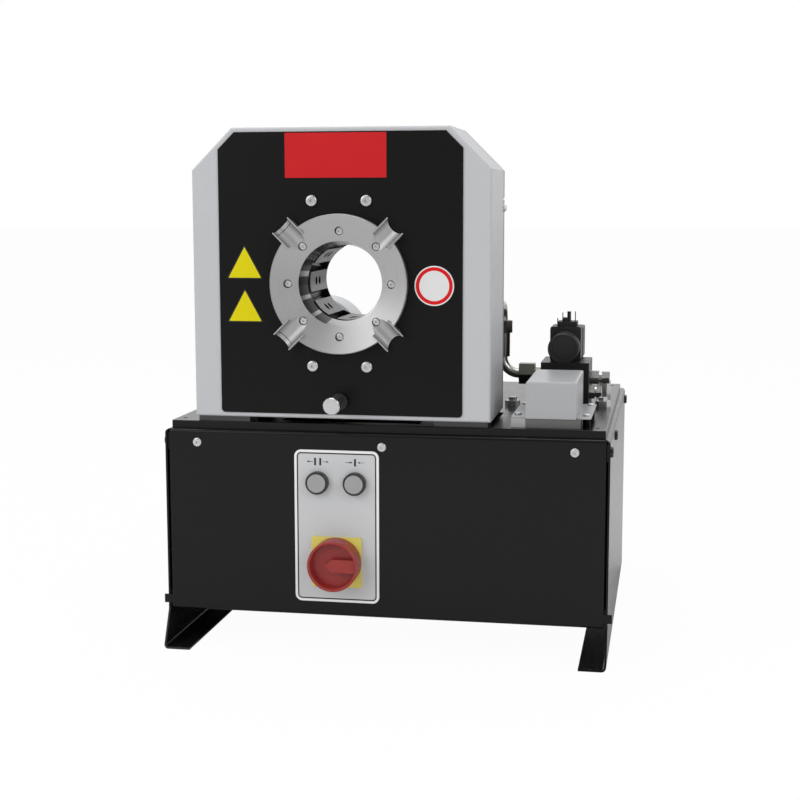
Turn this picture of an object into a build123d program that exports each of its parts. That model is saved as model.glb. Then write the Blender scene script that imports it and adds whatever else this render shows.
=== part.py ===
"""Hydraulic hose crimping machine with a ring-piston head on a sheet-metal power unit.

Frame: millimetres, +X to the operator's right, +Y to the back, +Z up.
Origin: the centre of the four floor-bolt holes, on the floor.
"""
from build123d import *
from math import atan, cos, degrees, pi, radians, sin, sqrt, tan
import os

os.makedirs("parts", exist_ok=True)

# ---------------------------------------------------------------- clearances
run_gap = 0.3            # between pieces that move past each other
shaft_gap = 0.05         # radial play of a shaft or pin in its hole
screw_gap = 0.1          # radial play of a screw shank in its hole
sheet_gap = 0.4          # between folded sheets that hang side by side

# ---------------------------------------------------------------- cabinet
sheet = 2.5              # cabinet sheet thickness
cabinet_width = 590.0
cabinet_bottom = 50.0
cabinet_top = 296.0
floor_hole_pitch_x = 548.0
floor_hole_pitch_y = 555.0
floor_hole_radius = 4.0
foot_end_margin = 7.4    # floor hole to the end of the foot flange
foot_flange_width = 36.0
foot_rake = 24.1         # how far the foot reaches ahead of the front panel
bend_radius = 6.0
top_flange_width = 10.0
front_panel_side_gap = 2.0
ear_height = 11.5
ear_bottom = 57.4
ear_reach = 5.5          # ear beyond the outer face of the side panel
lid_height = 10.4
lid_side_gap = 6.5       # lid edge to the outer face of the side panel
lid_front_setback = 8.9
lid_rear_setback = 34.6
front_screw_pitch = 250.0
front_screw_height = 279.0
rail_height = 22.0       # square cross rails under the lid
rail_depth = 20.0

# ---------------------------------------------------------------- control panel
control_plate_width = 113.3
control_plate_height = 203.5
control_plate_centre_x = -60.6
control_plate_centre_z = 171.3
control_plate_thickness = 1.5
button_pitch = 50.1
button_height = 230.0
button_hole_radius = 11.2
bezel_radius = 15.0
bezel_depth = 9.0
cap_radius = 12.2
cap_proud = 1.6
button_travel = 4.0
switch_height = 124.2
switch_plate_size = 67.0
switch_plate_thickness = 3.0
switch_knob_radius = 33.5
switch_knob_depth = 27.0
switch_shaft_radius = 5.0

# ---------------------------------------------------------------- crimping head
head_centre_x = -56.8
head_centre_z = 490.0
head_width = 394.5
head_bottom = 313.2
head_top = 691.0
head_chamfer = 54.3
head_sheet = 3.0
skin_depth = 132.8
cover_sheet = 1.5
fascia_width = 321.8
fascia_bottom = 319.3
fascia_top = 685.0
fascia_chamfer = 22.0
fascia_thickness = 1.5
cheek_thickness = 39.0   # front pressure plate
rear_plate_thickness = 25.0
plate_side_gap = 0.5     # pressure plates inside the skin
saddle_thickness = 12.0
saddle_top = 302.0
plate_leg_width = 70.0
plate_arch_height = 16.0

# ---------------------------------------------------------------- face ring
ring_radius = 90.5
ring_proud = 11.5        # rim in front of the fascia
dish_depth = 15.0
mouth_radius = 55.5
throat_radius = 49.5     # open jaws
ring_hub_radius = 80.0
ring_hub_depth = 8.0
ring_tube_radius = 63.0
ring_tube_end = 28.4     # tube end behind the front of the cheek
ring_screw_circle = 68.5
ring_screw_count = 8
ring_screw_head_radius = 5.0
gutter_reach = 107.0
gutter_width = 29.5
gutter_start = 66.0
gutter_rim = 1.2
gutter_floor_thickness = 1.2
gutter_floor_setback = 9.0
fascia_bolt_x = 36.0
fascia_bolt_z = 107.0

# ---------------------------------------------------------------- crimping mechanism
jaw_count = 8
jaw_length = 94.0
jaw_face_width = 28.0
jaw_stroke = 12.6
wedge_slope = 0.3        # radial jaw travel for each millimetre of piston travel
jaw_tail_thickness = 6.0
key_neck_width = 9.0
key_head_width = 16.0
key_neck_height = 4.0
key_head_height = 4.0
tongue_width = 9.6
tongue_depth = 5.6
tongue_inner = 66.5
tongue_outer = 79.0
jaw_pin_radius = 5.5
jaw_pin_pitch = 18.6
jaw_pin_depth = 9.0
piston_radius = 118.0
piston_head_length = 32.0
piston_tail_length = 56.0
piston_tail_radius = 86.0
housing_radius = 140.0
tie_bolt_circle = 164.0
tie_bolt_radius = 9.0

# ---------------------------------------------------------------- opening-stop knob
stop_height = 337.2
stop_rod_radius = 5.0
stop_knob_radius = 11.0
stop_neck_radius = 7.6
stop_neck_length = 40.0
stop_travel = 25.0

# ---------------------------------------------------------------- hydraulics on the lid
manifold_left = 182.0
manifold_width = 69.6
manifold_front = 7.0
manifold_depth = 87.0
manifold_height = 58.3
valve_width = 46.0
valve_length = 92.0
valve_height = 46.0
coil_nut_radius = 21.7
coil_length = 46.0
pipe_radius = 7.0
riser_radius = 10.5
relay_box_left = 184.5
relay_box_width = 65.0
relay_box_depth = 146.0
relay_box_height = 47.7
relay_box_lift = 12.0
relay_box_setback = 11.8  # behind the front edge of the lid
relay_box_sheet = 1.5
relay_flange_width = 19.0
motor_radius = 65.8
motor_axis_x = -183.7
motor_axis_height = 73.0
motor_rear = 231.0
cowl_length = 70.0
stator_length = 112.0
stator_radius = 56.0
rotor_radius = 39.0
motor_shaft_radius = 7.0
pump_length = 75.0

# ---------------------------------------------------------------- derived places
half_width = cabinet_width / 2
foot_front = -floor_hole_pitch_y / 2 - foot_end_margin
cabinet_front = foot_front + foot_rake
cabinet_rear = floor_hole_pitch_y / 2 + foot_end_margin
lid_front = cabinet_front + lid_front_setback
lid_rear = cabinet_rear - lid_rear_setback
lid_top = cabinet_top + lid_height
lid_half_width = half_width - lid_side_gap
panel_half_width = half_width - sheet - front_panel_side_gap
cheek_front = lid_front + sheet + 0.2
head_front = cheek_front - head_sheet
skin_rear = head_front + skin_depth
fascia_front = head_front - fascia_thickness
cheek_rear = cheek_front + cheek_thickness
jaw_front = cheek_rear + run_gap
jaw_rear = jaw_front + jaw_length
piston_stroke = jaw_stroke / wedge_slope
piston_front = cheek_rear + piston_stroke + 2 * run_gap
piston_head_rear = piston_front + piston_head_length
piston_tail_rear = piston_head_rear + piston_tail_length
rear_plate_front = piston_head_rear + 1.0
rear_plate_rear = rear_plate_front + rear_plate_thickness
cover_rear = rear_plate_rear + cover_sheet
ring_front = fascia_front - ring_proud
wedge_angle = degrees(atan(wedge_slope))
head_left = head_centre_x - head_width / 2
head_right = head_centre_x + head_width / 2


# ---------------------------------------------------------------- helpers
def block(x, y, z):
    """Box between two x, two y and two z values."""
    size = (x[1] - x[0], y[1] - y[0], z[1] - z[0])
    return Pos((x[0] + x[1]) / 2, (y[0] + y[1]) / 2, (z[0] + z[1]) / 2) * Box(*size)


def rod_x(radius, x, y, z):
    """Cylinder along X between two x values."""
    return Pos((x[0] + x[1]) / 2, y, z) * Rot(0, 90, 0) * Cylinder(radius, x[1] - x[0])


def rod_y(radius, x, y, z):
    """Cylinder along Y between two y values."""
    return Pos(x, (y[0] + y[1]) / 2, z) * Rot(90, 0, 0) * Cylinder(radius, y[1] - y[0])


def rod_z(radius, x, y, z):
    """Cylinder along Z between two z values."""
    return Pos(x, y, (z[0] + z[1]) / 2) * Cylinder(radius, z[1] - z[0])


def outline_xz(points, y):
    """Slab with the outline given in X and Z, between two y values."""
    wire = Polyline(*[(px, y[0], pz) for px, pz in points], close=True)
    return extrude(make_face(wire), y[1] - y[0], dir=(0, 1, 0))


def outline_yz(points, x):
    """Slab with the outline given in Y and Z, between two x values."""
    wire = Polyline(*[(x[0], py, pz) for py, pz in points], close=True)
    return extrude(make_face(wire), x[1] - x[0], dir=(1, 0, 0))


def turned_y(profile, centre_x, centre_z):
    """Solid of revolution about a line along Y; profile points are (radius, y)."""
    wire = Polyline(*[(radius, y, 0) for radius, y in profile], close=True)
    return Pos(centre_x, 0, centre_z) * revolve(make_face(wire), Axis.Y)


def about_head(solid, turn):
    """Turns a solid that was made on the +X side of the head's axis about that axis."""
    return Pos(head_centre_x, 0, head_centre_z) * Rot(0, -turn, 0) * solid


def hex_y(across_flats, x, y, z):
    """Hexagonal prism along Y."""
    face = RegularPolygon(across_flats / 2, 6, major_radius=False)
    place = Plane(origin=(x, y[0], z), x_dir=(1, 0, 0), z_dir=(0, 1, 0))
    return extrude(place * face, y[1] - y[0])


def hex_x(across_flats, x, y, z):
    """Hexagonal prism along X."""
    face = RegularPolygon(across_flats / 2, 6, major_radius=False)
    place = Plane(origin=(x[0], y, z), x_dir=(0, 1, 0), z_dir=(1, 0, 0))
    return extrude(place * face, x[1] - x[0])


def hex_z(across_flats, x, y, z):
    """Hexagonal prism along Z."""
    face = RegularPolygon(across_flats / 2, 6, major_radius=False)
    return extrude(Plane(origin=(x, y, z[0])) * face, z[1] - z[0])


def cap_screw_y(x, y_seat, z, head_radius, head_height, shank_radius, length):
    """Button-head screw driven along +Y, with its hexagon socket in the front."""
    head = rod_y(head_radius, x, (y_seat - head_height, y_seat), z)
    head = fillet(head.edges().group_by(Axis.Y)[0], head_height * 0.55)
    shank = rod_y(shank_radius, x, (y_seat, y_seat + length), z)
    socket = hex_y(shank_radius, x, (y_seat - head_height - 1, y_seat - head_height * 0.4), z)
    return head + shank - socket


def save(node, shape):
    """One STEP file for one node."""
    shape.label = node
    export_step(shape, f"parts/{node}.step")


def save_group(node, shapes):
    """One STEP file for a group of like solids."""
    save(node, Compound(children=[Solid(s.solid().wrapped) for s in shapes]))


# ---------------------------------------------------------------- cabinet sheets
def side_panel(side):
    """Side sheet that runs down into its foot; side is -1 for left and +1 for right."""
    inner = half_width - foot_flange_width
    section = [
        (inner, 0), (half_width, 0), (half_width, cabinet_top),
        (half_width - top_flange_width, cabinet_top),
        (half_width - top_flange_width, cabinet_top - sheet),
        (half_width - sheet, cabinet_top - sheet), (half_width - sheet, sheet), (inner, sheet),
    ]
    panel = outline_xz(section, (foot_front, cabinet_rear))
    long_edges = panel.edges().filter_by(Axis.Y)
    outer = [e for e in long_edges if e.center().X > half_width - 0.1]
    corner = [e for e in long_edges if abs(e.center().X - half_width + sheet) < 0.1]
    panel = fillet(outer, bend_radius)
    long_edges = panel.edges().filter_by(Axis.Y)
    corner = [e for e in long_edges if abs(e.center().X - half_width + sheet) < 0.1]
    panel = fillet(corner, bend_radius - sheet)
    rake = [
        (foot_front - 1, 0), (foot_front, 0), (cabinet_front, cabinet_bottom),
        (cabinet_front, cabinet_top + 1), (foot_front - 1, cabinet_top + 1),
    ]
    panel -= outline_yz(rake, (inner - 1, half_width + 1))
    for end in (-1, 1):
        panel -= rod_z(floor_hole_radius, floor_hole_pitch_x / 2, end * floor_hole_pitch_y / 2,
                       (-1, sheet + 1))
    notch_top = ear_bottom + ear_height + run_gap
    panel -= block((half_width - sheet - 1, half_width + 1),
                   (cabinet_front - 1, cabinet_front + sheet + run_gap),
                   (ear_bottom - run_gap, notch_top))
    for y in rail_places():
        panel -= rod_x(4 + screw_gap, (half_width - sheet - 1, half_width + 1), y,
                       rail_bottom + rail_height / 2)
    clear_of_front = cabinet_front + sheet + run_gap
    panel -= block((0, panel_half_width + run_gap), (foot_front, clear_of_front),
                   (cabinet_top - 2 * bend_radius, cabinet_top + 1))
    panel -= block((0, half_width - sheet), (rear_wall_front - run_gap, cabinet_rear + 1),
                   (cabinet_top - 2 * bend_radius, cabinet_top + 1))
    return panel if side > 0 else mirror(panel, about=Plane.YZ)


rail_bottom = saddle_top - saddle_thickness - rail_height
rail_inset = half_width - sheet
rear_wall_front = cabinet_rear - sheet_gap - sheet
flange_inner = half_width - top_flange_width


def rail_places():
    """Y centres of the cross rails: front, behind the head and at the rear panel."""
    front = cabinet_front + sheet + rail_depth / 2
    middle = rear_plate_rear + rail_depth / 2 - 6
    rear = rear_wall_front - rail_depth / 2
    return (front, middle, rear)


save("right_side_panel", side_panel(1))
save("left_side_panel", side_panel(-1))

front_lip = top_flange_width + 1
front_panel = block((-panel_half_width, panel_half_width),
                    (cabinet_front, cabinet_front + front_lip), (cabinet_bottom, cabinet_top))
front_panel = fillet(front_panel.edges().filter_by(Axis.X).group_by(Axis.Y)[0], bend_radius - 2)
front_panel = fillet([e for e in front_panel.edges().filter_by(Axis.Y)
                      if e.center().Z > cabinet_top - 1], bend_radius - 3)
front_panel -= block((-panel_half_width - 1, panel_half_width + 1),
                     (cabinet_front + sheet, cabinet_front + front_lip + 1),
                     (cabinet_bottom + sheet, cabinet_top - sheet))
for side in (-1, 1):
    front_panel -= block(sorted((side * (flange_inner - sheet_gap), side * half_width)),
                         (cabinet_front + sheet, cabinet_front + front_lip + 1),
                         (cabinet_top - 2 * sheet, cabinet_top + 1))
front_panel += block((-half_width - ear_reach, half_width + ear_reach),
                     (cabinet_front, cabinet_front + sheet), (ear_bottom, ear_bottom + ear_height))
button_places = [control_plate_centre_x + side * button_pitch / 2 for side in (-1, 1)]
panel_hole = (cabinet_front - control_plate_thickness - 1, cabinet_front + sheet + 1)
for x in button_places:
    front_panel -= rod_y(button_hole_radius, x, panel_hole, button_height)
front_panel -= rod_y(button_hole_radius, control_plate_centre_x, panel_hole, switch_height)
front_screw_places = (-front_screw_pitch, 0, front_screw_pitch)
for x in front_screw_places:
    front_panel -= rod_y(3 + screw_gap, x, panel_hole, front_screw_height)
save("front_panel", front_panel)

rear_panel = block((-rail_inset + sheet_gap, rail_inset - sheet_gap),
                   (lid_rear - 12, cabinet_rear - sheet_gap), (cabinet_bottom, cabinet_top))
rear_panel = fillet(rear_panel.edges().filter_by(Axis.X).group_by(Axis.Y)[-1], bend_radius - 2)
rear_panel -= block((-half_width, half_width), (lid_rear - 13, cabinet_rear - sheet_gap - sheet),
                    (cabinet_bottom - 1, cabinet_top - sheet))
for side in (-1, 1):
    rear_panel -= block(sorted((side * (flange_inner - sheet_gap), side * half_width)),
                        (lid_rear - 13, rear_wall_front), (cabinet_top - 2 * sheet, cabinet_top + 1))
gland_place = (196.0, 110.0)
rear_panel -= rod_y(10.2, gland_place[0], (cabinet_rear - 10, cabinet_rear + 1), gland_place[1])
save("rear_panel", rear_panel)

floor_tray = block((-rail_inset + sheet_gap, rail_inset - sheet_gap),
                   (cabinet_front + sheet + sheet_gap, cabinet_rear - 2 * sheet),
                   (cabinet_bottom + sheet, cabinet_bottom + 24))
floor_tray -= block((-rail_inset + sheet_gap + 2, rail_inset - sheet_gap - 2),
                    (cabinet_front - 1, cabinet_rear + 1),
                    (cabinet_bottom + sheet + 2, cabinet_bottom + 30))
save("floor_tray", floor_tray)

rails = []
for y in rail_places():
    tube = block((-rail_inset, rail_inset), (y - rail_depth / 2, y + rail_depth / 2),
                 (rail_bottom, rail_bottom + rail_height))
    tube -= block((-rail_inset + 4, rail_inset - 4), (y - rail_depth / 2 + 2, y + rail_depth / 2 - 2),
                  (rail_bottom + 2, rail_bottom + rail_height - 2))
    tube -= rod_x(4 + screw_gap, (-half_width, half_width), y, rail_bottom + rail_height / 2)
    rails.append(tube)
for x in front_screw_places:
    rails[0] -= rod_y(3 + screw_gap, x, (cabinet_front, cabinet_front + 20), front_screw_height)
save_group("cross_rails", rails)

screws = []
for y in rail_places():
    z = rail_bottom + rail_height / 2
    for side in (-1, 1):
        head = rod_x(7, (half_width, half_width + 3.5), y, z)
        head = fillet(head.edges().group_by(Axis.X)[-1], 2)
        shank = rod_x(4, (half_width - 14, half_width), y, z)
        screw = head + shank - hex_x(4.5, (half_width + 1.5, half_width + 5), y, z)
        screws.append(screw if side > 0 else mirror(screw, about=Plane.YZ))
screws += [cap_screw_y(x, cabinet_front, front_screw_height, 6.0, 3.3, 3.0, 12.0)
           for x in front_screw_places]
save_group("cabinet_screws", screws)

# ---------------------------------------------------------------- lid
opening_x = (head_left + 2.5, head_right + 1.3)
opening_y = (lid_front + sheet, cover_rear + 2)
lid = block((-lid_half_width, lid_half_width), (lid_front, lid_rear), (cabinet_top, lid_top))
lid = fillet(lid.edges().filter_by(Axis.Z), 3)
lid = fillet(lid.edges().group_by(Axis.Z)[-1], 1.2)
lid -= block((-lid_half_width + sheet, lid_half_width - sheet), (lid_front + sheet, lid_rear - sheet),
             (cabinet_top - 1, lid_top - sheet))
lid -= block(opening_x, opening_y, (cabinet_top - 1, lid_top + 1))
lid_hole_inset = 12.0
for x in (-1, 1):
    for y in (lid_front + 22.0, lid_rear - 22.0):
        lid -= rod_z(3.2, x * (lid_half_width - lid_hole_inset), y, (lid_top - 5, lid_top + 1))
filler_place = (-20.0, 120.0)
lid -= rod_z(16.3, filler_place[0], filler_place[1], (lid_top - 5, lid_top + 1))
save("lid", lid)


# ---------------------------------------------------------------- head plates and skin
def head_outline(inset, bottom):
    """Corner points of the head's front view, drawn in by an even inset."""
    left = head_left + inset
    right = head_right - inset
    top = head_top - inset
    cut = head_chamfer - inset * (2 - sqrt(2))
    return [(left, bottom), (right, bottom), (right, top - cut), (right - cut, top),
            (left + cut, top), (left, top - cut)]


def tie_bolt_places():
    """X and Z of the tie bolts, half-way between the jaws."""
    places = []
    for i in range(jaw_count):
        turn = radians(360 / jaw_count * (i + 0.5))
        places.append((head_centre_x + tie_bolt_circle * cos(turn),
                       head_centre_z + tie_bolt_circle * sin(turn)))
    return places


def pressure_plate(y):
    """Thick steel plate of the head that stands on two legs on the saddle."""
    inset = head_sheet + plate_side_gap
    plate = outline_xz(head_outline(inset, saddle_top), y)
    arch = block((head_left + inset + plate_leg_width, head_right - inset - plate_leg_width),
                 (y[0] - 1, y[1] + 1), (saddle_top - 1, saddle_top + plate_arch_height))
    return plate - arch


hub_seat = cheek_front + ring_hub_depth
tube_end = cheek_front + ring_tube_end
cheek = pressure_plate((cheek_front, cheek_rear))
cheek -= rod_y(ring_hub_radius + screw_gap, head_centre_x, (cheek_front - 1, hub_seat), head_centre_z)
cheek -= rod_y(ring_tube_radius + screw_gap, head_centre_x, (cheek_front, tube_end), head_centre_z)
cheek -= rod_y(throat_radius + 2.5, head_centre_x, (cheek_front, cheek_rear + 1), head_centre_z)
for i in range(jaw_count):
    groove = block((throat_radius, tongue_outer + 2), (cheek_rear - tongue_depth - run_gap, cheek_rear + 1),
                   (-tongue_width / 2 - run_gap, tongue_width / 2 + run_gap))
    cheek -= about_head(groove, 360 / jaw_count * i)
tie_depth = 26.0
for x, z in tie_bolt_places():
    cheek -= rod_y(tie_bolt_radius + screw_gap, x, (cheek_rear - tie_depth, cheek_rear + 1), z)
fascia_bolt_places = [(head_centre_x + sx * fascia_bolt_x, head_centre_z + sz * fascia_bolt_z)
                      for sx in (-1, 1) for sz in (-1, 1)]
fascia_bolt_length = 22.0
for x, z in fascia_bolt_places:
    cheek -= rod_y(4 + screw_gap, x, (cheek_front - 1, fascia_front + fascia_bolt_length + 1), z)
ring_screw_seat_depth = 5.0
ring_screw_length = 24.0
dish_slope = dish_depth / (ring_radius - mouth_radius)
ring_screw_seat = ring_front + dish_slope * (ring_radius - ring_screw_circle) + ring_screw_seat_depth
ring_screw_places = []
for i in range(ring_screw_count):
    turn = radians(360 / ring_screw_count * i)
    ring_screw_places.append((head_centre_x + ring_screw_circle * cos(turn),
                              head_centre_z + ring_screw_circle * sin(turn)))
for x, z in ring_screw_places:
    cheek -= rod_y(2.5 + screw_gap, x, (hub_seat - 1, ring_screw_seat + ring_screw_length + 1), z)
stop_bush_radius = 9.0
cheek -= rod_y(stop_bush_radius + screw_gap, head_centre_x, (cheek_front - 1, cheek_rear + 1), stop_height)
save("front_pressure_plate", cheek)

rear_plate = pressure_plate((rear_plate_front, rear_plate_rear))
rear_plate -= rod_y(piston_tail_radius + shaft_gap, head_centre_x,
                    (rear_plate_front - 1, rear_plate_rear + 1), head_centre_z)
seal_width = 6.0
seal_depth = 5.0
tie_head_depth = 13.0
for x, z in tie_bolt_places():
    rear_plate -= rod_y(tie_bolt_radius + screw_gap, x, (rear_plate_front - 1, rear_plate_rear + 1), z)
    rear_plate -= rod_y(14.5, x, (rear_plate_rear - tie_head_depth, rear_plate_rear + 1), z)
port_place = (122.0, 446.0)
port_depth = 15.0
pipe_hole_radius = pipe_radius + screw_gap
rear_plate -= rod_y(pipe_hole_radius, port_place[0], (rear_plate_rear - port_depth, rear_plate_rear + 1),
                    port_place[1])
rear_plate -= rod_y(stop_rod_radius + 1, head_centre_x, (rear_plate_front - 1, rear_plate_rear + 1),
                    stop_height)
save("rear_pressure_plate", rear_plate)

housing = turned_y([(piston_radius + shaft_gap, cheek_rear), (housing_radius, cheek_rear),
                    (housing_radius, rear_plate_front), (piston_radius + shaft_gap, rear_plate_front)],
                   head_centre_x, head_centre_z)
save("cylinder_housing", housing)

bolts = []
for x, z in tie_bolt_places():
    seat = rear_plate_rear - tie_head_depth
    bolt = rod_y(13.5, x, (seat, rear_plate_rear - 1), z)
    bolt += rod_y(tie_bolt_radius, x, (cheek_rear - tie_depth + 1, seat), z)
    bolt -= hex_y(14, x, (seat + 4, rear_plate_rear), z)
    bolts.append(bolt)
save_group("tie_bolts", bolts)

saddle_y = (cabinet_front + sheet + 10.0, rear_plate_rear + 14.0)
saddle = block((-flange_inner + sheet_gap, flange_inner - sheet_gap), saddle_y, (saddle_top - saddle_thickness, saddle_top))
saddle -= block((-150, 40), (cheek_rear + 8, rear_plate_front - 8), (0, saddle_top + 1))
leg_centres = [head_left + head_sheet + plate_side_gap + plate_leg_width / 2,
               head_right - head_sheet - plate_side_gap - plate_leg_width / 2]
foot_bolt_y = (cheek_rear + 9.0, rear_plate_front - 9.0)
angle_size = 30.0
angle_thickness = 6.0
brackets = []
bracket_bolts = []
for x in leg_centres:
    for y, face, way in ((cheek_rear, cheek_rear, 1), (rear_plate_front, rear_plate_front, -1)):
        shelf = block((x - 28, x + 28), sorted((face, face + way * angle_size)),
                      (saddle_top, saddle_top + angle_thickness))
        wall = block((x - 28, x + 28), sorted((face, face + way * angle_thickness)),
                     (saddle_top, saddle_top + angle_size))
        bracket = shelf + wall
        for dx in (-16, 16):
            place = (x + dx, face + way * 19)
            bracket -= rod_z(4 + screw_gap, *place, (saddle_top - 1, saddle_top + angle_thickness + 1))
            saddle -= rod_z(4 + screw_gap, *place, (saddle_top - 20, saddle_top + 1))
            head = hex_z(13, *place, (saddle_top + angle_thickness, saddle_top + angle_thickness + 5.5))
            shank = rod_z(4, *place, (saddle_top - saddle_thickness, saddle_top + angle_thickness))
            bracket_bolts.append(head + shank)
        brackets.append(bracket)
save_group("head_brackets", brackets)
save_group("head_bracket_bolts", bracket_bolts)
save("head_saddle", saddle)

skin = outline_xz(head_outline(0, head_bottom), (head_front, skin_rear))
skin = fillet(skin.edges().group_by(Axis.Y)[0], head_sheet)
hollow = outline_xz(head_outline(head_sheet, head_bottom - 1), (head_front + head_sheet, skin_rear + 1))
skin -= hollow
skin -= rod_y(ring_radius + run_gap, head_centre_x, (head_front - 1, cheek_front + 1), head_centre_z)
for x, z in fascia_bolt_places:
    skin -= rod_y(4 + screw_gap, x, (head_front - 1, cheek_front + 1), z)
skin -= rod_y(stop_bush_radius + screw_gap, head_centre_x, (head_front - 1, cheek_front + 1), stop_height)
side_screw_height = 587.0
side_screw_y = rear_plate_rear - 8.0
save("head_skin", skin)

cover_front = skin_rear + run_gap
cover = outline_xz(head_outline(0, head_bottom), (cover_front, cover_rear))
cover -= outline_xz(head_outline(head_sheet, head_bottom - 1), (cover_front - 1, rear_plate_rear))
cover -= rod_y(piston_tail_radius + 4, head_centre_x, (cover_front, cover_rear + 1), head_centre_z)
cover -= rod_y(16, port_place[0], (cover_front, cover_rear + 1), port_place[1])
notch_height = 2.5
for side in (-1, 1):
    edge = head_centre_x + side * head_width / 2
    cover -= block(sorted((edge - side * (head_sheet + 1), edge + side)), (cover_front - 1, cover_rear + 1),
                   (598.0, 598.0 + notch_height))
    cover -= rod_x(2.5 + screw_gap, sorted((edge - side * (head_sheet + 1), edge + side)),
                   (cover_front + cover_rear) / 2, side_screw_height)
guard_screw_circle = 105.0
for i in range(4):
    turn = radians(45 + 90 * i)
    cover -= rod_y(2.5 + screw_gap, head_centre_x + guard_screw_circle * cos(turn),
                   (cover_front, cover_rear + 1), head_centre_z + guard_screw_circle * sin(turn))
save("head_rear_cover", cover)

screws = []
for side in (-1, 1):
    edge = head_centre_x + side * head_width / 2
    y = (cover_front + cover_rear) / 2
    head = rod_x(5.0, sorted((edge, edge + side * 3.6)), y, side_screw_height)
    rim = head.edges().group_by(Axis.X)[-1 if side > 0 else 0]
    head = fillet(rim, 3.0)
    shank = rod_x(2.5, sorted((edge - side * (head_sheet + plate_side_gap), edge)), y, side_screw_height)
    screws.append(head + shank)
head_screws = screws

guard_reach = 36.0
guard = turned_y([(92, cover_rear), (113, cover_rear), (113, cover_rear + 3), (96, cover_rear + 3),
                  (96, cover_rear + guard_reach), (92, cover_rear + guard_reach)],
                 head_centre_x, head_centre_z)
for i in range(4):
    turn = radians(45 + 90 * i)
    guard -= rod_y(2.5 + screw_gap, head_centre_x + guard_screw_circle * cos(turn),
                   (cover_rear - 1, cover_rear + 4), head_centre_z + guard_screw_circle * sin(turn))
save("tail_guard", guard)

fascia_outline = [
    (head_centre_x - fascia_width / 2, fascia_bottom), (head_centre_x + fascia_width / 2, fascia_bottom),
    (head_centre_x + fascia_width / 2, fascia_top - fascia_chamfer),
    (head_centre_x + fascia_width / 2 - fascia_chamfer, fascia_top),
    (head_centre_x - fascia_width / 2 + fascia_chamfer, fascia_top),
    (head_centre_x - fascia_width / 2, fascia_top - fascia_chamfer)]
fascia = outline_xz(fascia_outline, (fascia_front, head_front))
fascia = fillet([e for e in fascia.edges().filter_by(Axis.Y) if e.center().Z < fascia_bottom + 1], 5)
fascia -= rod_y(ring_radius + run_gap, head_centre_x, (fascia_front - 1, head_front + 1), head_centre_z)
for x, z in fascia_bolt_places:
    fascia -= rod_y(4 + screw_gap, x, (fascia_front - 1, head_front + 1), z)
fascia -= rod_y(stop_bush_radius + screw_gap, head_centre_x, (fascia_front - 1, head_front + 1), stop_height)
save("front_fascia", fascia)

head_screws += [cap_screw_y(x, fascia_front, z, 7.5, 4.4, 4.0, fascia_bolt_length)
                for x, z in fascia_bolt_places]
save_group("head_screws", head_screws)


# ---------------------------------------------------------------- face ring with tool gutters
def gutter_channel():
    """Cutter for one round-bottomed gutter, running nearly level outwards along +X."""
    radius = gutter_width / 2 - gutter_rim
    start_floor = ring_front + dish_slope * (ring_radius - gutter_start)
    end_floor = fascia_front - gutter_floor_thickness
    length = gutter_reach - gutter_start
    tilt = degrees(atan((end_floor - start_floor) / length))
    scoop = Cylinder(radius, 3 * length)
    return Pos(gutter_start, start_floor - radius, 0) * Rot(0, 0, tilt) * Rot(0, 90, 0) * scoop


def gutter_end():
    """Cutter that slopes the outer end, so that the floor ends before the rims."""
    floor_reach = gutter_reach - gutter_floor_setback
    points = [(gutter_reach, ring_front - 2), (gutter_reach, ring_front), (floor_reach, fascia_front),
              (floor_reach, fascia_front + 1), (gutter_reach + 5, fascia_front + 1),
              (gutter_reach + 5, ring_front - 2)]
    wire = Polyline(*[(px, py, -gutter_width) for px, py in points], close=True)
    return extrude(make_face(wire), 2 * gutter_width, dir=(0, 0, 1))


ring = turned_y([
    (mouth_radius, ring_front + dish_depth), (ring_radius - 1, ring_front), (ring_radius, ring_front + 1),
    (ring_radius, cheek_front), (ring_hub_radius, cheek_front), (ring_hub_radius, hub_seat),
    (ring_tube_radius, hub_seat), (ring_tube_radius, tube_end),
    (throat_radius + 0.5, tube_end)], head_centre_x, head_centre_z)
for i in range(4):
    turn = 45 + 90 * i
    arm = block((ring_radius - 12, gutter_reach), (ring_front, fascia_front),
                (-gutter_width / 2, gutter_width / 2))
    ring += about_head(arm, turn)
for i in range(4):
    turn = 45 + 90 * i
    ring -= about_head(gutter_channel(), turn)
    ring -= about_head(gutter_end(), turn)
bore_cutter = turned_y([(0, ring_front - 1), (mouth_radius, ring_front - 1),
                        (mouth_radius, ring_front + dish_depth), (throat_radius + 0.5, tube_end),
                        (throat_radius + 0.5, tube_end + 1), (0, tube_end + 1)],
                       head_centre_x, head_centre_z)
ring -= bore_cutter
for x, z in ring_screw_places:
    ring -= rod_y(ring_screw_head_radius + 0.6, x, (ring_front - 1, ring_screw_seat), z)
    ring -= rod_y(2.5 + screw_gap, x, (ring_front, hub_seat + 1), z)
save("face_ring", ring)

save_group("face_ring_screws", [
    cap_screw_y(x, ring_screw_seat, z, ring_screw_head_radius, 2.8, 2.5, ring_screw_length)
    for x, z in ring_screw_places])


# ---------------------------------------------------------------- jaws and wedge piston
def wedge_radius(y):
    """Distance from the head's axis to the jaw's sloping back at a place along the head."""
    return throat_radius + jaw_tail_thickness + wedge_slope * (jaw_rear - y)


def wedge_bar(low, high, half, y):
    """Bar along a jaw's sloping back between two heights above it."""
    points = [(wedge_radius(y[0]) + low, y[0]), (wedge_radius(y[0]) + high, y[0]),
              (wedge_radius(y[1]) + high, y[1]), (wedge_radius(y[1]) + low, y[1])]
    wire = Polyline(*[(px, py, -half) for px, py in points], close=True)
    return extrude(make_face(wire), 2 * half, dir=(0, 0, 1))


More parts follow.
